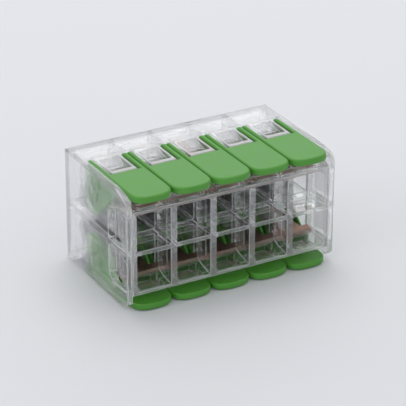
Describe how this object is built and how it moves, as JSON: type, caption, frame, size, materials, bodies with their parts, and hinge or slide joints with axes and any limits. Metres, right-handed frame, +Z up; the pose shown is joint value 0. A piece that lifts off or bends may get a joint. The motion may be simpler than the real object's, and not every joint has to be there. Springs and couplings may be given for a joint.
{
  "type": "lever wire connector",
  "caption": "Clear splicing connector with two decks of square wire entries, a hinged green lever over each entry, and a copper busbar with steel clamp springs inside.",
  "frame": {"origin": "centre of the bounding box on the bottom rest face", "axes": "+Z up, +X along the row of wire entries, -Y the side where wires enter"},
  "size_m": [0.0298, 0.0186, 0.0158],
  "materials": {
    "clear_housing": "clear polished polycarbonate",
    "clear_insert": "clear polished polycarbonate",
    "copper": "tinned copper, satin",
    "spring_steel": "bright rolled strip",
    "green_lever": "satin moulded nylon"
  },
  "bodies": {
    "housing": {"outer_shell": "clear_housing", "front_insert": "clear_insert", "busbar": "copper", "clamp_spring_bottom_1": "spring_steel", "clamp_spring_bottom_2": "spring_steel", "clamp_spring_bottom_3": "spring_steel", "clamp_spring_bottom_4": "spring_steel", "clamp_spring_bottom_5": "spring_steel", "clamp_spring_top_1": "spring_steel", "clamp_spring_top_2": "spring_steel", "clamp_spring_top_3": "spring_steel", "clamp_spring_top_4": "spring_steel", "clamp_spring_top_5": "spring_steel"},
    "lever_bottom_1": {"lever_bottom_1": "green_lever"},
    "lever_bottom_2": {"lever_bottom_2": "green_lever"},
    "lever_bottom_3": {"lever_bottom_3": "green_lever"},
    "lever_bottom_4": {"lever_bottom_4": "green_lever"},
    "lever_bottom_5": {"lever_bottom_5": "green_lever"},
    "lever_top_1": {"lever_top_1": "green_lever"},
    "lever_top_2": {"lever_top_2": "green_lever"},
    "lever_top_3": {"lever_top_3": "green_lever"},
    "lever_top_4": {"lever_top_4": "green_lever"},
    "lever_top_5": {"lever_top_5": "green_lever"}
  },
  "joints": [
    {"name": "lever_bottom_1_hinge", "type": "hinge", "parent": "housing", "child": "lever_bottom_1", "pos_m": [-0.0112, 0.00145, 0.0024], "axis": [1, 0, 0], "range_deg": [0, 90], "deforming": ["clamp_spring_bottom_1"]},
    {"name": "lever_bottom_2_hinge", "type": "hinge", "parent": "housing", "child": "lever_bottom_2", "pos_m": [-0.0056, 0.00145, 0.0024], "axis": [1, 0, 0], "range_deg": [0, 90], "deforming": ["clamp_spring_bottom_2"]},
    {"name": "lever_bottom_3_hinge", "type": "hinge", "parent": "housing", "child": "lever_bottom_3", "pos_m": [0, 0.00145, 0.0024], "axis": [1, 0, 0], "range_deg": [0, 90], "deforming": ["clamp_spring_bottom_3"]},
    {"name": "lever_bottom_4_hinge", "type": "hinge", "parent": "housing", "child": "lever_bottom_4", "pos_m": [0.0056, 0.00145, 0.0024], "axis": [1, 0, 0], "range_deg": [0, 90], "deforming": ["clamp_spring_bottom_4"]},
    {"name": "lever_bottom_5_hinge", "type": "hinge", "parent": "housing", "child": "lever_bottom_5", "pos_m": [0.0112, 0.00145, 0.0024], "axis": [1, 0, 0], "range_deg": [0, 90], "deforming": ["clamp_spring_bottom_5"]},
    {"name": "lever_top_1_hinge", "type": "hinge", "parent": "housing", "child": "lever_top_1", "pos_m": [-0.0112, 0.00145, 0.0134], "axis": [-1, 0, 0], "range_deg": [0, 90], "deforming": ["clamp_spring_top_1"]},
    {"name": "lever_top_2_hinge", "type": "hinge", "parent": "housing", "child": "lever_top_2", "pos_m": [-0.0056, 0.00145, 0.0134], "axis": [-1, 0, 0], "range_deg": [0, 90], "deforming": ["clamp_spring_top_2"]},
    {"name": "lever_top_3_hinge", "type": "hinge", "parent": "housing", "child": "lever_top_3", "pos_m": [0, 0.00145, 0.0134], "axis": [-1, 0, 0], "range_deg": [0, 90], "deforming": ["clamp_spring_top_3"]},
    {"name": "lever_top_4_hinge", "type": "hinge", "parent": "housing", "child": "lever_top_4", "pos_m": [0.0056, 0.00145, 0.0134], "axis": [-1, 0, 0], "range_deg": [0, 90], "deforming": ["clamp_spring_top_4"]},
    {"name": "lever_top_5_hinge", "type": "hinge", "parent": "housing", "child": "lever_top_5", "pos_m": [0.0112, 0.00145, 0.0134], "axis": [-1, 0, 0], "range_deg": [0, 90], "deforming": ["clamp_spring_top_5"]}
  ]
}
